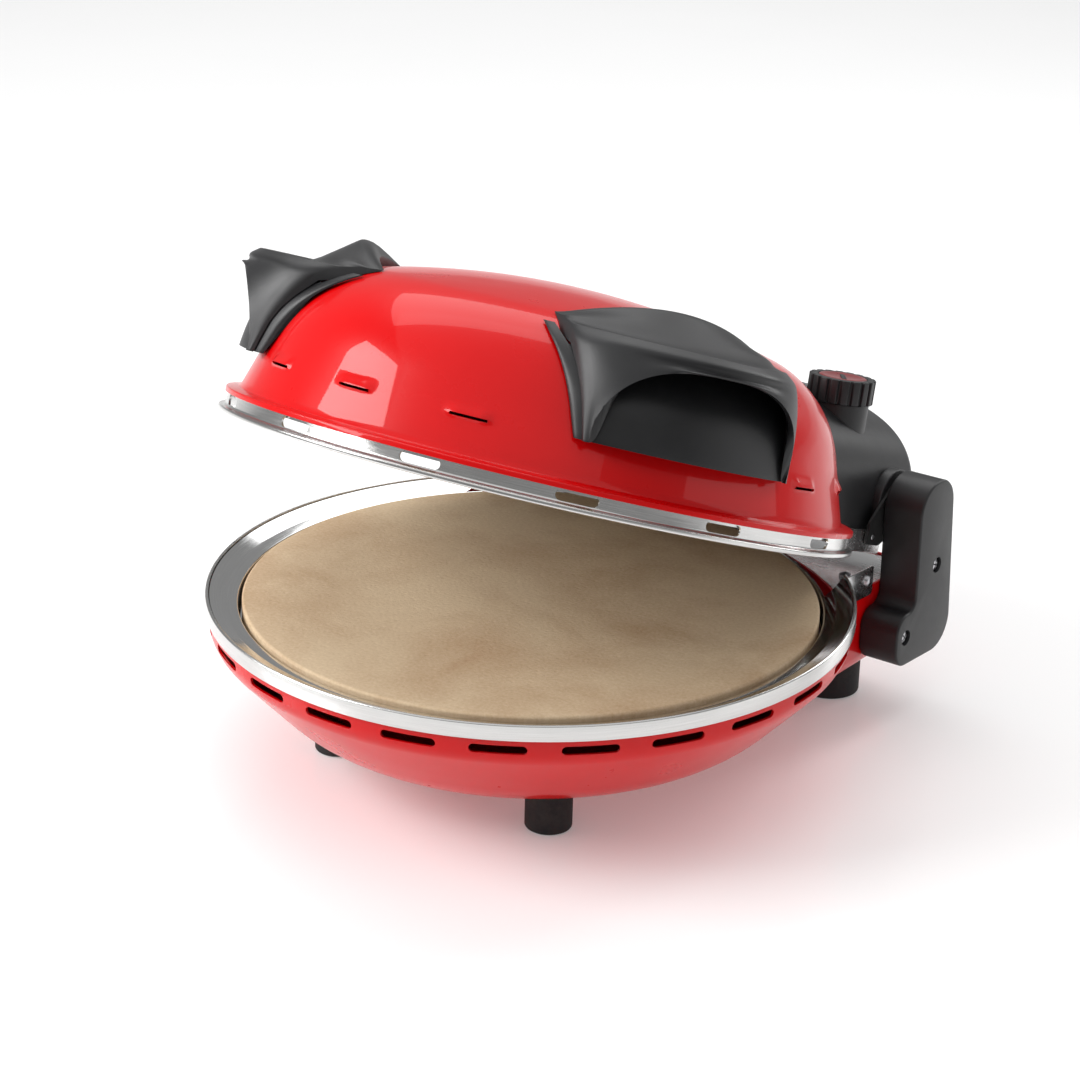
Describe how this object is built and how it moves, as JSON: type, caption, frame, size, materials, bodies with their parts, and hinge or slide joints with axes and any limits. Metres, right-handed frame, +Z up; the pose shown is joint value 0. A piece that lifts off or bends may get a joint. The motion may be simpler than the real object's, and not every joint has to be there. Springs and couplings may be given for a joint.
{
  "type": "countertop pizza oven",
  "caption": "Countertop electric pizza oven with a red enamelled base and hinged dome lid, round refractory stone, steel rims, black side handles and a rear thermostat knob.",
  "frame": {"origin": "middle of the footprint's bounding box, on the plane that the feet stand on", "axes": "+Z up, -Y towards the user at the oven's front, +X to the oven's right as seen from above with the front towards -Y"},
  "size_m": [0.3524, 0.4046, 0.2748],
  "materials": {
    "red_enamel": "glossy red enamel",
    "black_steel": "satin black coated steel",
    "dark_red_plastic": "glossy dark red disc",
    "polished_steel": "bright drawn steel",
    "brushed_steel": "satin steel ring",
    "black_plastic": "matte black moulded plastic",
    "foot_rubber": "matte black rubber",
    "refractory_stone": "unglazed beige refractory stone",
    "element_sheath": "heat-darkened metal tube",
    "ceramic": "white glazed ceramic",
    "zinc_screw": "zinc plated",
    "lamp_lens": "translucent amber"
  },
  "bodies": {
    "base": {"lower_shell": "red_enamel", "lower_rim_ring": "brushed_steel", "lower_pan": "polished_steel", "lower_element": "element_sheath", "lower_element_clip_1": "polished_steel", "lower_element_clip_2": "polished_steel", "lower_element_clip_3": "polished_steel", "rear_deck_plate": "polished_steel", "deck_screw_left": "zinc_screw", "deck_screw_right": "zinc_screw", "foot_front_left": "foot_rubber", "foot_screw_front_left": "zinc_screw", "foot_front_right": "foot_rubber", "foot_screw_front_right": "zinc_screw", "foot_rear_left": "foot_rubber", "foot_screw_rear_left": "zinc_screw", "foot_rear_right": "foot_rubber", "foot_screw_rear_right": "zinc_screw", "terminal_block": "ceramic", "cord_gland": "black_plastic", "hinge_arm_left": "black_plastic", "hinge_bracket_left": "polished_steel", "arm_screw_left_upper": "zinc_screw", "arm_screw_left_lower": "zinc_screw", "hinge_pin_left": "zinc_screw", "hinge_arm_right": "black_plastic", "hinge_bracket_right": "polished_steel", "arm_screw_right_upper": "zinc_screw", "arm_screw_right_lower": "zinc_screw", "hinge_pin_right": "zinc_screw"},
    "stone": {"pizza_stone": "refractory_stone"},
    "lid": {"lid_dome": "red_enamel", "lid_rim_ring": "brushed_steel", "upper_reflector": "polished_steel", "upper_element": "element_sheath", "upper_element_clip_1": "polished_steel", "upper_element_clip_2": "polished_steel", "upper_element_clip_3": "polished_steel", "lid_neck": "polished_steel", "rear_housing": "black_plastic", "thermostat_body": "ceramic", "thermostat_probe": "polished_steel", "pilot_lamp_lens": "lamp_lens", "hinge_plate_left": "black_steel", "hinge_plate_screw_left": "zinc_screw", "handle_base_left": "black_plastic", "handle_grip_left": "black_plastic", "handle_screw_left_front": "zinc_screw", "handle_screw_left_rear": "zinc_screw", "hinge_plate_right": "black_steel", "hinge_plate_screw_right": "zinc_screw", "handle_base_right": "black_plastic", "handle_grip_right": "black_plastic", "handle_screw_right_front": "zinc_screw", "handle_screw_right_rear": "zinc_screw"},
    "knob": {"thermostat_knob": "black_plastic", "knob_disc": "dark_red_plastic", "knob_shaft": "zinc_screw"}
  },
  "joints": [
    {"name": "lid_hinge", "type": "hinge", "parent": "base", "child": "lid", "pos_m": [0, 0.1509, 0.118], "axis": [-1, 0, 0], "range_deg": [-20.2, 65]},
    {"name": "knob_turn", "type": "hinge", "parent": "lid", "child": "knob", "pos_m": [0.0875, 0.14227, 0.17275], "axis": [0, -0.1942, -0.981], "range_deg": [0, 270]},
    {"name": "stone_lift", "type": "slide", "parent": "base", "child": "stone", "axis": [0, 0, 1], "range_m": [0, 0.01]}
  ]
}
